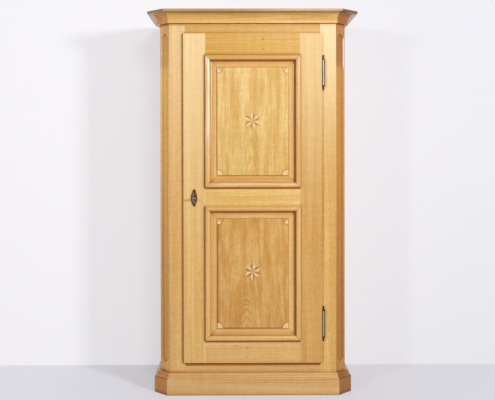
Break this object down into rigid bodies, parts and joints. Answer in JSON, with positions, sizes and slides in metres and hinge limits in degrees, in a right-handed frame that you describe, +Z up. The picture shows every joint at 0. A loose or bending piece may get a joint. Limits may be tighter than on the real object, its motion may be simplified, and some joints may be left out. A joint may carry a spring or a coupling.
{
  "type": "bonnetiere cabinet",
  "caption": "Tall narrow one-door wooden cabinet with canted corners, moulded cornice and plinth, inlaid raised panels, lift-off hinges and a lock with its key.",
  "frame": {"origin": "on the floor, in the middle of the overall width and of the overall depth", "axes": "+Z up, +X to the right as seen from the front, +Y towards the back, front of the cabinet towards -Y"},
  "size_m": [1.076, 0.513, 1.95],
  "materials": {
    "frame_wood": "satin",
    "panel_wood": "satin",
    "moulding_wood": "satin",
    "inner_wood": "matte",
    "inlay_light": "satin",
    "inlay_dark": "satin",
    "bronze": "satin",
    "lock_iron": "satin"
  },
  "bodies": {
    "carcass": {"back_boards": "inner_wood", "back_rails": "inner_wood", "ceiling_board": "inner_wood", "corner_post_left": "frame_wood", "corner_post_right": "frame_wood", "cornice_back_rail": "inner_wood", "cornice_cant_left": "moulding_wood", "cornice_cant_right": "moulding_wood", "cornice_front": "moulding_wood", "cornice_lid": "inner_wood", "cornice_side_left": "moulding_wood", "cornice_side_right": "moulding_wood", "floor_board": "inner_wood", "front_bottom_rail": "frame_wood", "front_top_rail": "frame_wood", "hinge_frame_halves": "bronze", "plinth_cant_left": "moulding_wood", "plinth_cant_right": "moulding_wood", "plinth_front": "moulding_wood", "plinth_side_left": "moulding_wood", "plinth_side_right": "moulding_wood", "rear_post_left": "frame_wood", "rear_post_right": "frame_wood", "shelf_1": "inner_wood", "shelf_2": "inner_wood", "shelf_3": "inner_wood", "shelf_cleats": "inner_wood", "side_bottom_rail_left": "frame_wood", "side_bottom_rail_right": "frame_wood", "side_lower_panel_left": "panel_wood", "side_lower_panel_right": "panel_wood", "side_middle_rail_left": "frame_wood", "side_middle_rail_right": "frame_wood", "side_top_rail_left": "frame_wood", "side_top_rail_right": "frame_wood", "side_upper_panel_left": "panel_wood", "side_upper_panel_right": "panel_wood", "strike_plate": "lock_iron"},
    "door": {"door_bottom_rail": "frame_wood", "door_lower_panel": "panel_wood", "door_middle_rail": "frame_wood", "door_stile_left": "frame_wood", "door_stile_right": "frame_wood", "door_top_rail": "frame_wood", "door_upper_panel": "panel_wood", "escutcheon": "bronze", "escutcheon_pins": "bronze", "hinge_door_halves": "bronze", "lock_case": "lock_iron", "lock_screws": "lock_iron", "lower_inlay_dark": "inlay_dark", "lower_inlay_light": "inlay_light", "lower_moulding_ends": "moulding_wood", "lower_moulding_sides": "moulding_wood", "upper_inlay_dark": "inlay_dark", "upper_inlay_light": "inlay_light", "upper_moulding_ends": "moulding_wood", "upper_moulding_sides": "moulding_wood"},
    "key": {"key": "bronze"},
    "lock_bolt": {"lock_bolt": "lock_iron"}
  },
  "joints": [
    {"name": "door_swing", "type": "hinge", "parent": "carcass", "child": "door", "pos_m": [0.3597, -0.2012, 1], "axis": [0, 0, 1], "range_deg": [0, 175]},
    {"name": "key_turn", "type": "hinge", "parent": "door", "child": "key", "pos_m": [-0.298, -0.2385, 1], "axis": [0, -1, 0], "range_deg": [0, 270]},
    {"name": "bolt_slide", "type": "slide", "parent": "door", "child": "lock_bolt", "axis": [-1, 0, 0], "range_m": [0, 0.012]}
  ],
  "couplings": [
    {"joint": "bolt_slide", "follows": "key_turn", "m_per_rad": 0.002546}
  ]
}
